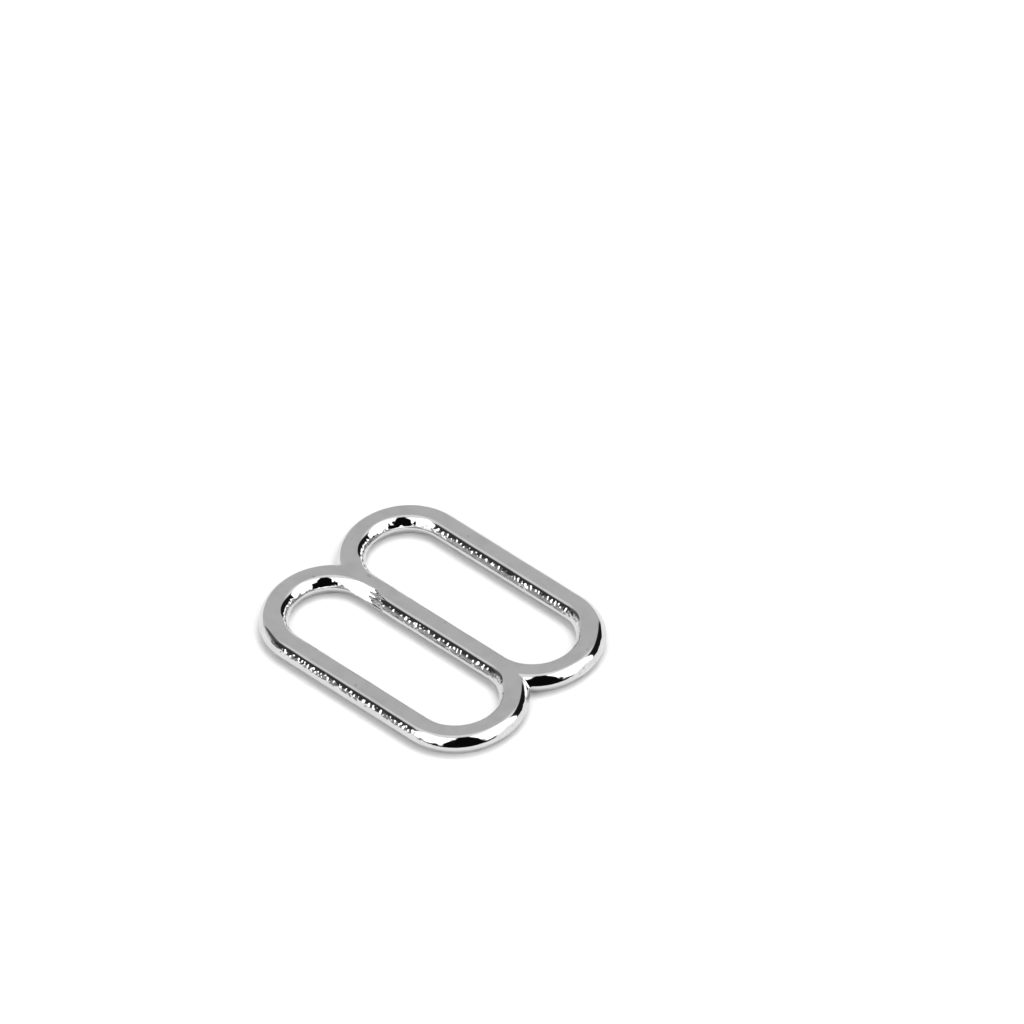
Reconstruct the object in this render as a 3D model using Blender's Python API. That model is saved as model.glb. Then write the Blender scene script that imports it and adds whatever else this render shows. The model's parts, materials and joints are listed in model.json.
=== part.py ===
"""Strap slider for lingerie straps: one die-cast figure-eight frame.

Two rounded slots lie side by side and share one centre bar. Every bar has the same section: a flat on
its top and its underside, and rounded sides that slope out to the die's parting line, half way up.
Units are metres, +Z is up and the slider lies on its lower flat, with the slots' long sides along X and
the slots side by side along Y.
"""

import math

import bmesh
import bpy

MM = 0.001

# Driving dimensions
SLOT_LENGTH = 13.7 * MM    # clear length of a slot, along X, where the bars are widest
SLOT_WIDTH = 4.26 * MM     # clear width of a slot, along Y, where the bars are widest
BAR_WIDTH = 1.6 * MM       # at the parting line, half way up
FLAT_WIDTH = 0.75 * MM     # of the flat on the top and the underside of every bar
THICKNESS = 1.2 * MM       # between the two flats
DRAFT = math.radians(20)   # lean of the sides from upright, at the parting line

# Fineness of the faceted shape
SLOT_STEPS = 26            # straight edges round each end of a slot
END_STEPS = 10             # straight edges from the tip of a rounded end to its notch, and to its straight
HALF_SIDE_STEPS = 4        # strips from a flat to the parting line

# Derived from the driving dimensions
RING_RADIUS = (SLOT_WIDTH + BAR_WIDTH) / 2      # from a slot's end centre to the bar's centreline
HALF_STRAIGHT = (SLOT_LENGTH - SLOT_WIDTH) / 2  # half the straight run of a bar
SIDE_REACH = (BAR_WIDTH - FLAT_WIDTH) / 2       # how far a side stands out past its flat
SIDE_LEAN = math.atan2(SIDE_REACH, THICKNESS / 2)   # lean of the straight line from flat to parting line
SIDE_RADIUS = math.hypot(SIDE_REACH, THICKNESS / 2) / 2 / math.sin(SIDE_LEAN - DRAFT)


def arc(centre_x, centre_y, radius, start, end, steps):
    """Points from start to end on a circle, both ends included."""
    points = []
    for step in range(steps + 1):
        angle = start + (end - start) * step / steps
        points.append((centre_x + radius * math.cos(angle), centre_y + radius * math.sin(angle)))
    return points


def slot_outline(half_width, side):
    """A slot's rounded outline, where the bars reach half_width to each side of their centreline."""
    radius = RING_RADIUS - half_width
    centre_y = side * RING_RADIUS
    quarter = math.pi / 2
    right = arc(HALF_STRAIGHT, centre_y, radius, -quarter, quarter, SLOT_STEPS)
    left = arc(-HALF_STRAIGHT, centre_y, radius, quarter, 3 * quarter, SLOT_STEPS)
    return right + left


def rounded_end(centre_x, centre_y, radius, start, tip, end):
    """One end of a ring, from start by its tip to end."""
    before = arc(centre_x, centre_y, radius, start, tip, END_STEPS)
    after = arc(centre_x, centre_y, radius, tip, end, END_STEPS)
    return before + after[1:]


def outer_outline(half_width):
    """The figure-eight outline: two rounded ends a side, with a notch at each end of the centre bar."""
    radius = RING_RADIUS + half_width
    past = math.asin(RING_RADIUS / radius)      # how far an end runs on past its tip, to the notch
    quarter = math.pi / 2
    points = []
    for side, turn in ((1, 0), (-1, math.pi)):
        centre_x = side * HALF_STRAIGHT
        centre_y = side * RING_RADIUS
        points += rounded_end(centre_x, centre_y, radius, turn - past, turn, turn + quarter)
        far = turn + math.pi
        points += rounded_end(-centre_x, centre_y, radius, turn + quarter, far, far + past)
        points.pop()                            # the other side starts at this notch
    return points


def add_loop(mesh, outline, height):
    """A closed loop of edges at one height."""
    verts = [mesh.verts.new((x, y, height)) for x, y in outline]
    return [mesh.edges.new((vert, verts[index - 1])) for index, vert in enumerate(verts)]


def side_levels():
    """Height and half width of the bar from the lower flat to the upper one."""
    upper = []
    for step in range(HALF_SIDE_STEPS + 1):
        lean = DRAFT + 2 * (SIDE_LEAN - DRAFT) * step / HALF_SIDE_STEPS
        height = SIDE_RADIUS * (math.sin(lean) - math.sin(DRAFT))
        half_width = BAR_WIDTH / 2 - SIDE_RADIUS * (math.cos(DRAFT) - math.cos(lean))
        upper.append((height, half_width))
    lower = [(-height, half_width) for height, half_width in reversed(upper[1:])]
    return [(THICKNESS / 2 + height, half_width) for height, half_width in lower + upper]


def slider_mesh():
    """The frame as one closed mesh: rounded sides in strips, and a flat above and below."""
    mesh = bmesh.new()
    stacks = [[], [], []]
    for height, half_width in side_levels():
        outlines = (outer_outline(half_width), slot_outline(half_width, 1), slot_outline(half_width, -1))
        for stack, outline in zip(stacks, outlines):
            stack.append(add_loop(mesh, outline, height))
    for stack in stacks:
        for lower, upper in zip(stack, stack[1:]):
            bridge(mesh, lower, upper)
    for end in (0, -1):
        rim = [edge for stack in stacks for edge in stack[end]]
        bmesh.ops.triangle_fill(mesh, edges=rim, use_beauty=True, use_dissolve=False)
    bmesh.ops.triangulate(mesh, faces=mesh.faces)
    bmesh.ops.recalc_face_normals(mesh, faces=mesh.faces)
    return mesh


def bridge(mesh, lower, upper):
    """Faces between two loops that have the same number of edges and start at the same place."""
    for low_edge, high_edge in zip(lower, upper):
        low_new, low_old = low_edge.verts
        high_new, high_old = high_edge.verts
        mesh.faces.new((low_old, low_new, high_new, high_old))


def plated_zinc():
    """Bright nickel plating over die-cast zinc."""
    material = bpy.data.materials.new("bright_nickel_plating")
    material.use_nodes = True
    shader = material.node_tree.nodes["Principled BSDF"]
    shader.inputs["Base Color"].default_value = (0.78, 0.78, 0.79, 1)
    shader.inputs["Metallic"].default_value = 1
    shader.inputs["Roughness"].default_value = 0.08
    return material


def build():
    for old in list(bpy.data.objects):
        bpy.data.objects.remove(old, do_unlink=True)
    data = bpy.data.meshes.new("slider_frame")
    mesh = slider_mesh()
    mesh.to_mesh(data)
    mesh.free()
    data.materials.append(plated_zinc())
    data.shade_smooth()
    data.set_sharp_from_angle(angle=math.radians(25))
    frame = bpy.data.objects.new("slider_frame", data)
    bpy.context.scene.collection.objects.link(frame)


build()
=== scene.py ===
"""Strap slider: the die-cast frame with its flats, rounded sides, gate marks, trimmed bevel and plating.

The CAD frame gives the size and the place. This script builds the fine casting over it, in metres.
"""

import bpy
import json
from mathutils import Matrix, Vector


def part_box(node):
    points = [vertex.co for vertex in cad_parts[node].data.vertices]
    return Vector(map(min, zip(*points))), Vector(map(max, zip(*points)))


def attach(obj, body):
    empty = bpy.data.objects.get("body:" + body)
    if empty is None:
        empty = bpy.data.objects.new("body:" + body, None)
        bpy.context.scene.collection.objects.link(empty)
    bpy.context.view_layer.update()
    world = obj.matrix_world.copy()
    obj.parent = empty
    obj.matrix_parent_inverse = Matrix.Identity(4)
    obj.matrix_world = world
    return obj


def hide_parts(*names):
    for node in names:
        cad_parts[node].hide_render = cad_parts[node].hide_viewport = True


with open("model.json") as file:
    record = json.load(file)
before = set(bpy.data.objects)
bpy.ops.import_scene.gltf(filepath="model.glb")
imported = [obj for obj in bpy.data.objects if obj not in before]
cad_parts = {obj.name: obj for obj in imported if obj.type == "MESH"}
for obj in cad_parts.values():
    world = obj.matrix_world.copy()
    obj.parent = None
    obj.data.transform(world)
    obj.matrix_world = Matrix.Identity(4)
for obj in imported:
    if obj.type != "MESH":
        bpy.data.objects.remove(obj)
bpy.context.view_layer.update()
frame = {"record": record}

import json
import math

import bmesh
import bpy
import numpy as np
from mathutils import Matrix, Vector, noise

MM = 0.001

# ---------------------------------------------------------------- sizes from the frame
low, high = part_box("slider_frame")
LENGTH = high.x - low.x
WIDTH = high.y - low.y
THICKNESS = high.z - low.z
slot = next(o for o in frame["record"]["physics"]["openings"] if o["name"] == "back_slot")
RING_RADIUS = (slot["box_m"][0][1] + slot["box_m"][1][1]) / 2   # from the part's middle to the slot's
BAR_WIDTH = WIDTH - 4 * RING_RADIUS
HALF_STRAIGHT = LENGTH / 2 - RING_RADIUS - BAR_WIDTH / 2

# ---------------------------------------------------------------- the bar's section
FLAT_WIDTH = 0.748 * MM
EDGE_INSET = 0.05 * MM          # the flat's edge starts to round off this far inside it
# The rounded side as a chain of arcs from the flat to the parting line: the elevation of the side's normal
# where each arc ends, its radius in mm, and its steps. The chain is then stretched to the bar's size.
SIDE_ARCS = ((62, 0.20, 5), (45, 0.55, 6), (30, 0.85, 8), (22, 1.60, 6), (0, 0.20, 4))
NOTCH_RADIUS = 0.06 * MM        # in the notch where the two rings meet at each end

# ---------------------------------------------------------------- mesh steps
ACROSS_STEPS = 5                # over a flat, from the slot's edge outward
STRAIGHT_STEPS = 120            # along half of a bar's straight part
ARC_STEPS = 112                 # round a ring's end, from its straight part to the notch
NOTCH_STEPS = 4                 # round half of a notch
JOIN_STEPS = 22                 # along the middle line, from a notch to the centre bar's straight part
WELD_DISTANCE = 0.001 * MM      # points of neighbouring grids that are closer than this become one


def section():
    """The rounded side from the upper flat to the lower one, as (distance from the bar's middle, height)."""
    out, drop, angle = 0.0, 0.0, math.pi / 2
    points = [(out, drop)]
    for end, radius, steps in SIDE_ARCS:
        end = math.radians(end)
        for step in range(1, steps + 1):
            turned = angle + (end - angle) * step / steps
            points.append((out + radius * (math.cos(turned) - math.cos(angle)),
                           drop + radius * (math.sin(angle) - math.sin(turned))))
        out, drop = points[-1]
        angle = end
    edge = FLAT_WIDTH / 2 - EDGE_INSET
    reach = (BAR_WIDTH / 2 - edge) / out
    fall = THICKNESS / 2 / drop
    upper = [(edge + x * reach, THICKNESS / 2 - y * fall) for x, y in points]
    return upper + [(x, -height) for x, height in reversed(upper[:-1])]


def outer_line(half_width):
    """A quarter of the outer outline, from the middle of the long side to the middle of the end notch."""
    radius = RING_RADIUS + half_width
    notch_x = HALF_STRAIGHT + math.sqrt((radius + NOTCH_RADIUS) ** 2 - RING_RADIUS ** 2)
    last = -math.asin(RING_RADIUS / (radius + NOTCH_RADIUS))
    points = [(x, 2 * RING_RADIUS + half_width) for x in np.linspace(0, HALF_STRAIGHT, STRAIGHT_STEPS + 1)]
    for angle in np.linspace(math.pi / 2, last, ARC_STEPS + 1)[1:]:
        points.append((HALF_STRAIGHT + radius * math.cos(angle), RING_RADIUS + radius * math.sin(angle)))
    for angle in np.linspace(math.pi + last, math.pi, NOTCH_STEPS + 1)[1:]:
        points.append((notch_x + NOTCH_RADIUS * math.cos(angle), NOTCH_RADIUS * math.sin(angle)))
    points[-1] = (points[-1][0], 0.0)
    return points


def middle_line(notch_x):
    """The centre bar's own middle line, from the notch back to the middle of the part."""
    first = math.atan2(-RING_RADIUS, notch_x - HALF_STRAIGHT)
    points = []
    for angle in np.linspace(first, -math.pi / 2, JOIN_STEPS + 1)[1:]:
        points.append((HALF_STRAIGHT + RING_RADIUS / math.tan(-angle), 0.0))
    points += [(x, 0.0) for x in np.linspace(HALF_STRAIGHT, 0, STRAIGHT_STEPS + 1)[1:]]
    return points


def slot_line(half_width, across):
    """The slot's outline opposite each point of across, which runs round the quarter."""
    radius = RING_RADIUS - half_width
    points = []
    for x, y in across:
        if x <= HALF_STRAIGHT:
            points.append((x, RING_RADIUS + math.copysign(radius, y - RING_RADIUS)))
        else:
            angle = math.atan2(y - RING_RADIUS, x - HALF_STRAIGHT)
            points.append((HALF_STRAIGHT + radius * math.cos(angle), RING_RADIUS + radius * math.sin(angle)))
    return points


def add_grid(mesh, rows):
    """Quads over rows of points, given as (x, y, z), all rows as long."""
    made = [[mesh.verts.new(point) for point in row] for row in rows]
    for upper, lower in zip(made, made[1:]):
        for a, b, c, d in zip(upper, upper[1:], lower[1:], lower):
            mesh.faces.new((a, b, c, d))


def add_quarter(mesh, side_x, side_y):
    """One quarter of the casting: its outer side, its slot side and its two flats."""
    middle_z = THICKNESS / 2
    levels = section()
    flat_outer = outer_line(levels[0][0])
    across = flat_outer + middle_line(flat_outer[-1][0])
    slot_edge = slot_line(levels[0][0], across)

    def row(line, height):
        return [(side_x * x, side_y * y, middle_z + height) for x, y in line]

    add_grid(mesh, [row(outer_line(out), height) for out, height in levels])
    add_grid(mesh, [row(slot_line(out, across), height) for out, height in levels])
    for height in (middle_z, -middle_z):
        rows = []
        for share in np.linspace(0, 1, ACROSS_STEPS + 1):
            line = [(a + (b - a) * share, c + (d - c) * share) for (a, c), (b, d) in zip(slot_edge, across)]
            rows.append(row(line, height))
        add_grid(mesh, rows)


def casting():
    """The whole smooth casting as one closed mesh."""
    mesh = bmesh.new()
    for side_x in (1, -1):
        for side_y in (1, -1):
            add_quarter(mesh, side_x, side_y)
    bmesh.ops.remove_doubles(mesh, verts=mesh.verts, dist=WELD_DISTANCE)
    bmesh.ops.recalc_face_normals(mesh, faces=mesh.faces)
    data = bpy.data.meshes.new("cast_frame")
    mesh.to_mesh(data)
    mesh.free()
    data.shade_smooth()
    piece = bpy.data.objects.new("cast_frame", data)
    bpy.context.scene.collection.objects.link(piece)
    return piece


# ---------------------------------------------------------------- the casting's unevenness
SIDE_LIMITS = (0.98, 0.80)         # upright share of the normal where the unevenness starts, and is full
WAVE_SIZE = 1.6 * MM               # slow waves in the sides
WAVE_DEPTH = 0.006 * MM
PIT_SIZE = 0.23 * MM               # shallow round pits all over the slopes, edge to edge
PIT_DEPTH = 0.031 * MM             # a pit's height at one pit size from its middle
PIT_LEVEL = 0.25                   # about a pit's mean height, as a share, so that the bar isn't thickened
PIT_LOW = (0.15 * MM, 0.29 * MM)   # the pits fade in between these heights from the parting line
PIT_HIGH = (0.43 * MM, 0.52 * MM)  # and out again between these
GRAIN_SIZE = 0.13 * MM             # fine unevenness over the pits
GRAIN_DEPTH = 0.003 * MM
POLISHED = 0.35                    # the share of the pits that tumbling left on the outer ends
SLOT_ENDS = 0.85                   # and the share that it left in the ends of the slots
PATCH_SIZE = 0.9 * MM              # some patches are more pitted than others
PATCH_MIDDLE = 0.8                 # how pitted a middling patch is
PATCH_SWING = 0.8                  # and by how much the others differ from it

GATE_TILT = math.radians(12)       # the broken face's tilt up from straight along +X
GATE_DEPTH = 0.085 * MM
GATE_ROUGHNESS = 0.014 * MM
GATE_GRAIN = 0.16 * MM
GATE_EDGE = 0.2                    # the broken look fades in over this share of the depth

TRIM_TILT = math.radians(37)       # a trimmed bevel in the front slot, at the -X end of the centre bar
TRIM_TURN = math.radians(6)        # how far it is turned toward the slot's end, over the straight part
TRIM_DEPTH = 0.10 * MM
TRIM_LIMIT = 2                     # no point moves further than this many times the depth
# along X from the end of the bar's straight part, the bevel deepens between the first two and runs out
# between the last two
TRIM_START = (-1.0 * MM, 0.1 * MM)
TRIM_STOP = (0.9 * MM, 1.5 * MM)
TONGUE_LENGTH = 0.9 * MM           # the tongues of its torn end
TONGUE_GAP = 0.10 * MM


def smooth(value, start, end):
    """Goes from 0 at start to 1 at end, gently at both."""
    share = np.clip((value - start) / (end - start), 0, 1)
    return share * share * (3 - 2 * share)


def vertex_vectors(data, source, name):
    """One vector a vertex, read from source, as rows of an array."""
    values = np.zeros(len(data.vertices) * 3)
    source.foreach_get(name, values)
    return values.reshape(-1, 3)


def from_middle_line(place):
    """Distance outward from the closest ring's middle line, and the direction away from its slot."""
    near_x = np.clip(place[:, 0], -HALF_STRAIGHT, HALF_STRAIGHT)
    across = place[:, 1] - np.copysign(RING_RADIUS, place[:, 1])
    away = np.stack([place[:, 0] - near_x, across], axis=1)
    distance = np.linalg.norm(away, axis=1)
    return distance - RING_RADIUS, away / np.maximum(distance, 1e-9)[:, None]


def uneven(place, normal):
    """How far each point of the casting stands out of its smooth shape."""
    out, _ = from_middle_line(place)
    side = smooth(-np.abs(normal[:, 2]), -SIDE_LIMITS[0], -SIDE_LIMITS[1])
    height = np.abs(place[:, 2] - THICKNESS / 2)
    band = smooth(height, *PIT_LOW) * (1 - smooth(height, *PIT_HIGH))
    ends = smooth(np.abs(place[:, 0]), HALF_STRAIGHT, HALF_STRAIGHT + BAR_WIDTH)
    worn = 1 - ends * np.where(out > 0, 1 - POLISHED, 1 - SLOT_ENDS)
    shift = np.zeros(len(place))
    for index in np.nonzero(side > 0)[0]:
        point = Vector(place[index])
        pit = noise.voronoi(point / PIT_SIZE)[0][0] ** 2
        grain = noise.noise(point / GRAIN_SIZE)
        patch = PATCH_MIDDLE + PATCH_SWING * noise.noise(point / PATCH_SIZE)
        pitted = band[index] * worn[index] * patch
        rough = pitted * (PIT_DEPTH * (pit - PIT_LEVEL) + GRAIN_DEPTH * grain)
        shift[index] = side[index] * (WAVE_DEPTH * noise.noise(point / WAVE_SIZE) + rough)
    return shift


def break_gates(place):
    """Flattens each ring's +X tip where the metal ran in. Gives how broken the metal is at each point."""
    broken = np.zeros(len(place))
    facing = np.array([math.cos(GATE_TILT), 0, math.sin(GATE_TILT)])
    reach = RING_RADIUS * math.cos(GATE_TILT) + BAR_WIDTH / 2 - GATE_DEPTH
    for ring in (-1, 1):
        centre = np.array([HALF_STRAIGHT, ring * RING_RADIUS, THICKNESS / 2])
        past = (place - centre) @ facing - reach
        for index in np.nonzero((past > -GATE_ROUGHNESS) & (place[:, 0] > HALF_STRAIGHT))[0]:
            past[index] -= GATE_ROUGHNESS * noise.noise(Vector(place[index]) / GATE_GRAIN)
            if past[index] > 0:
                place[index] -= facing * past[index]
                broken[index] = min(1.0, past[index] / (GATE_EDGE * GATE_DEPTH))
    return broken


def trim_slot(place):
    """Bevels the front slot's upper edge at one end of the centre bar, where the casting was trimmed."""
    out, away = from_middle_line(place)
    along = place[:, 0] + HALF_STRAIGHT
    chosen = (out < 0) & (place[:, 1] < 0) & (place[:, 1] > -RING_RADIUS) & (place[:, 2] > THICKNESS / 2)
    chosen &= (along > TRIM_START[0]) & (along < TRIM_STOP[1] + TONGUE_LENGTH)
    widest = max(x * math.cos(TRIM_TILT) + z * math.sin(TRIM_TILT) for x, z in section())
    slot_end = np.array([-HALF_STRAIGHT, -RING_RADIUS])
    turned = np.array([math.sin(TRIM_TURN), -math.cos(TRIM_TURN)])
    for index in np.nonzero(chosen)[0]:
        height = place[index, 2] - THICKNESS / 2
        tongue = noise.noise(Vector((along[index] / TONGUE_LENGTH / 2, 0, height / TONGUE_GAP)))
        torn = along[index] + TONGUE_LENGTH * tongue
        depth = TRIM_DEPTH * smooth(along[index], *TRIM_START) * (1 - smooth(torn, *TRIM_STOP))
        inward = -away[index]
        if inward[0] < turned[0]:
            inward = turned
        over = RING_RADIUS + (place[index, :2] - slot_end) @ inward
        past = over * math.cos(TRIM_TILT) + height * math.sin(TRIM_TILT) - (widest - depth)
        if depth > 0 and past > 0:
            past = min(past, TRIM_LIMIT * depth)
            place[index, :2] -= inward * past * math.cos(TRIM_TILT)
            place[index, 2] -= past * math.sin(TRIM_TILT)


def roughen(piece):
    """Moves the smooth mesh's points to the casting's uneven surface, with its gate and trim marks."""
    data = piece.data
    place = vertex_vectors(data, data.vertices, "co")
    normal = vertex_vectors(data, data.vertex_normals, "vector")
    place += normal * uneven(place, normal)[:, None]
    broken = break_gates(place)
    trim_slot(place)
    data.vertices.foreach_set("co", place.ravel())
    data.attributes.new("gate", "FLOAT", "POINT").data.foreach_set("value", broken)
    data.update()


# ---------------------------------------------------------------- materials
class Nodes:
    """A short way to add and join shader nodes."""

    def __init__(self, tree):
        self.tree = tree
        tree.nodes.clear()

    def add(self, kind, inputs=None, **settings):
        node = self.tree.nodes.new(kind)
        for name, value in settings.items():
            setattr(node, name, value)
        for name, value in (inputs or {}).items():
            if isinstance(value, bpy.types.NodeSocket):
                self.tree.links.new(value, node.inputs[name])
            else:
                node.inputs[name].default_value = value
        return node

    def math(self, operation, *values):
        node = self.add("ShaderNodeMath", dict(enumerate(values)), operation=operation)
        return node.outputs[0]

    def vector(self, operation, a, b):
        return self.add("ShaderNodeVectorMath", {0: a, 1: b}, operation=operation).outputs[0]

    def ramp(self, value, start, end, low_value=0.0, high_value=1.0):
        node = self.add("ShaderNodeMapRange", {
            "Value": value, "From Min": start, "From Max": end, "To Min": low_value, "To Max": high_value,
        }, interpolation_type="SMOOTHSTEP")
        return node.outputs[0]

    def mix(self, share, a, b):
        node = self.add("ShaderNodeMix", {0: share, 2: a, 3: b}, data_type="FLOAT")
        return node.outputs[0]

    def noise(self, place, scale, detail):
        return self.add("ShaderNodeTexNoise", {"Vector": place, "Scale": scale, "Detail": detail})

    def spots(self, place, scale, edge, where):
        """Soft spots, one in each cell of the scale, where the last value is 1."""
        cell = self.add("ShaderNodeTexVoronoi", {"Vector": place, "Scale": scale})
        return self.math("MULTIPLY", self.ramp(cell.outputs["Distance"], *edge, 1.0, 0.0), where)


METAL = 0.63                       # how much light the clean plating gives back
SMUDGED = 0.575                    # and the same for it where it is most smudged
MARKED = 0.50                      # in a handling mark on a flat
PORE = 0.30                        # in a pore of a broken gate

# scales are in cells a metre, details in octaves
FLAT_LIMITS = (0.97, 0.995)        # upright share of the normal where a side ends, and where a flat starts
SMUDGE_NOISE = (900.0, 4.0)
SMUDGE_RANGE = (0.35, 0.75)        # of that noise, from clean to most smudged
FINE_NOISE = (9000.0, 3.0)         # the plating's own grain, as bump
BEND_NOISE = (2500.0, 2.0)         # bends the outlines of the marks and the pores
BEND_REACH = (0.0003, 0.0003, 0.0003)
MARK_SCALE = 760.0
MARK_EDGE = (0.05, 0.13)           # of a cell: a mark is full inside the first and gone outside the second
PORE_SCALE = 2600.0
PORE_EDGE = (0.08, 0.30)
GATE_NOISE = (5000.0, 3.0)         # the broken metal's grain, as bump
GATE_BUMP = 6.0                    # how many times deeper it is than the plating's
SIDE_ROUGHNESS = 0.03
FLAT_ROUGHNESS = 0.12
SMUDGE_ROUGHNESS = 0.03            # added to both in a smudge
GATE_BLUR = 0.36                   # the roughness of the broken metal
BUMP_STRENGTH = 0.2
BUMP_DISTANCE = 0.004 * MM


def plated_metal():
    """Nickel plating: bright sides, flats dulled by tumbling and handling, and rough metal on the gates."""
    material = bpy.data.materials.new("bright_plating")
    material.use_nodes = True
    nodes = Nodes(material.node_tree)
    place = nodes.add("ShaderNodeTexCoord").outputs["Object"]
    gate = nodes.add("ShaderNodeAttribute", attribute_name="gate").outputs["Fac"]
    normal = nodes.add("ShaderNodeNewGeometry").outputs["Normal"]
    up = nodes.add("ShaderNodeSeparateXYZ", {0: normal}).outputs["Z"]
    flat = nodes.ramp(nodes.math("ABSOLUTE", up), *FLAT_LIMITS)
    smudge = nodes.ramp(nodes.noise(place, *SMUDGE_NOISE).outputs[0], *SMUDGE_RANGE)
    bend = nodes.vector("MULTIPLY", nodes.noise(place, *BEND_NOISE).outputs["Color"], BEND_REACH)
    bent = nodes.vector("ADD", place, bend)
    mark = nodes.spots(bent, MARK_SCALE, MARK_EDGE, flat)
    pore = nodes.spots(bent, PORE_SCALE, PORE_EDGE, gate)

    rough = nodes.mix(flat, SIDE_ROUGHNESS, FLAT_ROUGHNESS)
    rough = nodes.math("ADD", rough, nodes.math("MULTIPLY", smudge, SMUDGE_ROUGHNESS))
    rough = nodes.mix(gate, rough, GATE_BLUR)
    tone = nodes.mix(smudge, METAL, SMUDGED)
    tone = nodes.mix(mark, tone, MARKED)
    tone = nodes.mix(pore, tone, PORE)
    colour = nodes.add("ShaderNodeCombineColor", {0: tone, 1: tone, 2: tone}).outputs[0]

    fine = nodes.noise(place, *FINE_NOISE).outputs[0]
    grain = nodes.math("MULTIPLY", nodes.noise(place, *GATE_NOISE).outputs[0], gate)
    height = nodes.math("ADD", fine, nodes.math("MULTIPLY", grain, GATE_BUMP))
    bump = nodes.add("ShaderNodeBump", {
        "Strength": BUMP_STRENGTH, "Distance": BUMP_DISTANCE, "Height": height,
    })
    shader = nodes.add("ShaderNodeBsdfPrincipled", {
        "Base Color": colour, "Metallic": 1.0, "Roughness": rough, "Normal": bump.outputs[0],
    })
    nodes.add("ShaderNodeOutputMaterial", {"Surface": shader.outputs[0]})
    return material


# ---------------------------------------------------------------- studio, with all its angles in degrees
CAMERA_AZIMUTH = 47.28
CAMERA_ELEVATION = 44.32
CAMERA_ROLL = -5.34
CAMERA_AIM = Vector((-2.30 * MM, 8.57 * MM, THICKNESS))
CAMERA_DISTANCE = 845.3 * MM
CAMERA_LENS = 562.5             # its focal length and sensor width, in mm
CAMERA_SENSOR = 36
FLOOR_RADIUS = 0.9
FLOOR_SIDES = 96
FLOOR_WHITE = 0.678
FLOOR_ROUGHNESS = 0.9

OVERHEAD = 1.1                  # the tent's light above TENT_TOP
BACK = 0.652                    # and below it, where none of the cards is
TENT_TOP = (50, 66)             # elevations between which the one goes over into the other
KEY_DIRECTION = (133, 76)       # azimuth and elevation of the large soft lamp overhead
KEY_SPREAD = 38                 # its width
KEY_LIGHT = 1.7
# Each card round the slider: its azimuth from the camera's own side and its elevation, both as (first,
# last, softness), and its light. A later card covers an earlier one.
CARDS = (
    ((-125, 0, 12), (-60, 64, 8), 0.98),        # the left half of the tent's wall
    ((0, 125, 12), (-60, 64, 8), 1.07),         # its right half
    ((-78, 0, 2), (4, 58, 4), 2.9),             # the left soft box
    ((0, 92, 3), (4, 66, 5), 2.9),              # the right soft box
    ((-125, -90, 3), (11, 43, 9), 0.12),        # the far part of the dark screen on the left
    ((-98, -77, 2), (-60, 43, 4), 0.05),        # its near part
    ((-100, -77, 2), (-60, 11, 7), 0.30),       # and its lower part
    ((90, 140, 3), (-60, 38, 4), 0.012),        # the dark screen on the right
    ((-60, 50, 5), (-4, 5.5, 1.5), 0.02),       # the table's far edge
    ((-84, -52, 5), (-4, 6, 3), 0.35),          # and its left part
)
# the dark gap between the soft boxes, where the camera stands: wide at the table and narrow at its top
GAP_AZIMUTH = 3
GAP_TOP = (66, 74)
GAP_HALF_WIDTH = (32, 14)       # at the table and at the top
GAP_SOFTNESS = 3
GAP_LIGHT = 0.004


def bearing(azimuth, elevation):
    """The direction of an azimuth and an elevation, where azimuth 0 is -Y."""
    azimuth, elevation = math.radians(azimuth), math.radians(elevation)
    return Vector((math.sin(azimuth) * math.cos(elevation), -math.cos(azimuth) * math.cos(elevation),
                   math.sin(elevation)))


def studio_light():
    """The white tent round the slider as world light, with its soft boxes, screens and dark gap."""
    world = bpy.data.worlds.new("studio")
    bpy.context.scene.world = world
    world.use_nodes = True
    nodes = Nodes(world.node_tree)
    direction = nodes.add("ShaderNodeTexCoord").outputs["Generated"]
    turned = nodes.add("ShaderNodeVectorRotate", {
        "Vector": direction, "Angle": -math.radians(CAMERA_AZIMUTH),
    }, rotation_type="Z_AXIS").outputs[0]
    x, y, z = nodes.add("ShaderNodeSeparateXYZ", {0: turned}).outputs
    azimuth = nodes.math("DEGREES", nodes.math("ARCTAN2", x, nodes.math("MULTIPLY", y, -1.0)))
    elevation = nodes.math("DEGREES", nodes.math("ARCSINE", z))
    light = nodes.ramp(elevation, *TENT_TOP, BACK, OVERHEAD)
    for across, upward, value in CARDS:
        share = 1.0
        for angle, (first, last, soft) in ((azimuth, across), (elevation, upward)):
            share = nodes.math("MULTIPLY", share, nodes.ramp(angle, first - soft, first + soft))
            share = nodes.math("MULTIPLY", share, nodes.ramp(angle, last - soft, last + soft, 1.0, 0.0))
        light = nodes.mix(share, light, value)
    half = nodes.ramp(elevation, 0, GAP_TOP[1], *GAP_HALF_WIDTH)
    off = nodes.math("ABSOLUTE", nodes.math("SUBTRACT", azimuth, GAP_AZIMUTH))
    off = nodes.math("SUBTRACT", off, half)
    gap = nodes.math("MULTIPLY", nodes.ramp(off, -GAP_SOFTNESS, GAP_SOFTNESS, 1.0, 0.0),
                     nodes.ramp(elevation, *GAP_TOP, 1.0, 0.0))
    light = nodes.mix(gap, light, GAP_LIGHT)
    background = nodes.add("ShaderNodeBackground", {"Color": light, "Strength": 1.0})
    nodes.add("ShaderNodeOutputWorld", {"Surface": background.outputs[0]})


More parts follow.
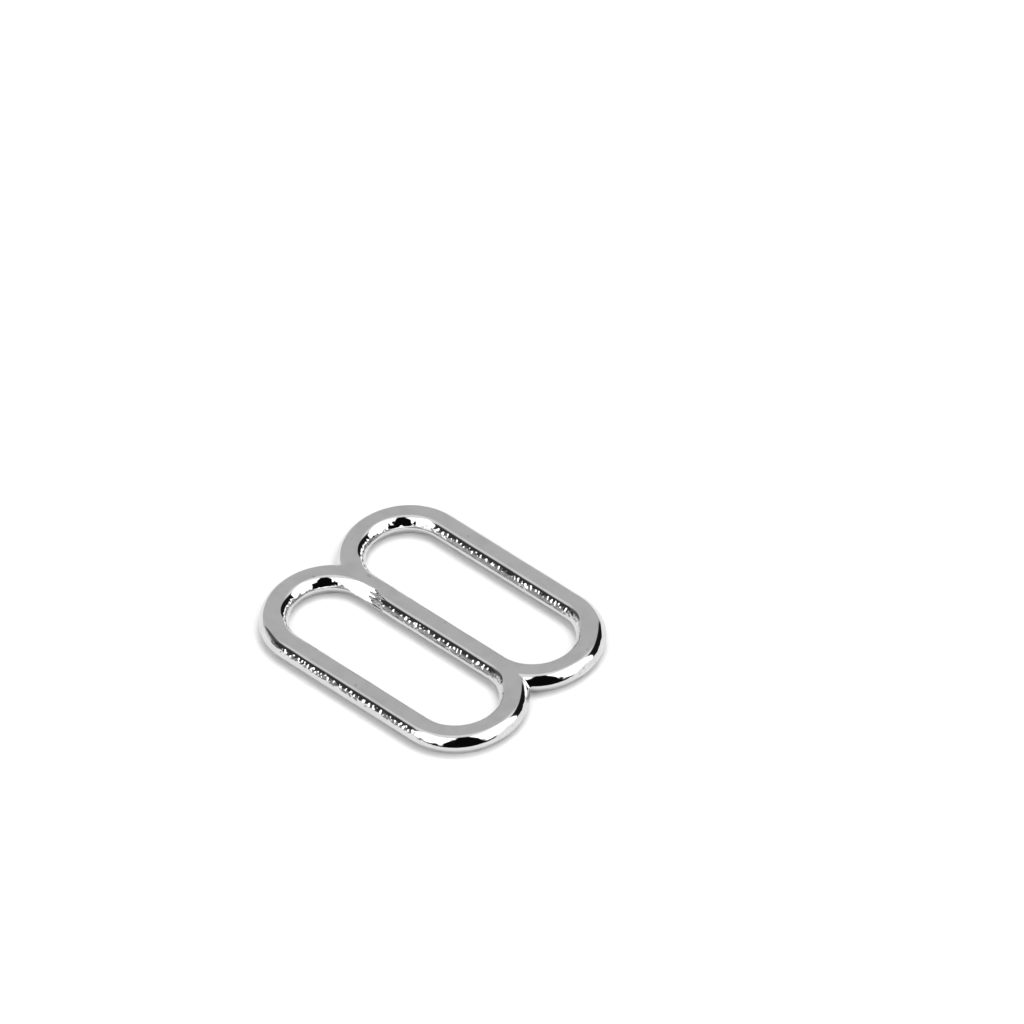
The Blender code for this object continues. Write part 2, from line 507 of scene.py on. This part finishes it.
def key_lamp():
    """The large soft lamp that gives the shadow, kept out of every reflection like a lamp above the tent."""
    data = bpy.data.lights.new("key", "SUN")
    data.angle = math.radians(KEY_SPREAD)
    data.energy = KEY_LIGHT
    piece = bpy.data.objects.new("key", data)
    piece.visible_glossy = False
    bpy.context.scene.collection.objects.link(piece)
    toward = Matrix.Rotation(math.radians(CAMERA_AZIMUTH), 3, "Z") @ bearing(*KEY_DIRECTION)
    piece.matrix_world = toward.to_track_quat("Z", "Y").to_matrix().to_4x4()


def floor():
    """The plain white paper that the slider lies on."""
    mesh = bmesh.new()
    bmesh.ops.create_circle(mesh, cap_ends=True, radius=FLOOR_RADIUS, segments=FLOOR_SIDES)
    data = bpy.data.meshes.new("floor")
    mesh.to_mesh(data)
    mesh.free()
    piece = bpy.data.objects.new("floor", data)
    bpy.context.scene.collection.objects.link(piece)
    material = bpy.data.materials.new("white_paper")
    material.use_nodes = True
    shader = material.node_tree.nodes["Principled BSDF"]
    shader.inputs["Base Color"].default_value = (FLOOR_WHITE, FLOOR_WHITE, FLOOR_WHITE, 1)
    shader.inputs["Roughness"].default_value = FLOOR_ROUGHNESS
    shader.inputs["Specular IOR Level"].default_value = 0.0
    data.materials.append(material)


def camera():
    """The camera, aimed at a point beside the slider, which puts the slider left of and below the middle."""
    back = bearing(CAMERA_AZIMUTH, CAMERA_ELEVATION)
    data = bpy.data.cameras.new("camera")
    data.lens = CAMERA_LENS
    data.sensor_width = CAMERA_SENSOR
    eye = bpy.data.objects.new("camera", data)
    bpy.context.scene.collection.objects.link(eye)
    turn = back.to_track_quat("Z", "Y").to_matrix() @ Matrix.Rotation(math.radians(CAMERA_ROLL), 3, "Z")
    eye.matrix_world = Matrix.Translation(CAMERA_AIM + back * CAMERA_DISTANCE) @ turn.to_4x4()
    bpy.context.scene.camera = eye
    bpy.context.scene.view_settings.view_transform = "Standard"


frame_piece = casting()
roughen(frame_piece)
frame_piece.data.materials.append(plated_metal())
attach(frame_piece, "root")
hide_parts("slider_frame")
floor()
studio_light()
key_lamp()
camera()
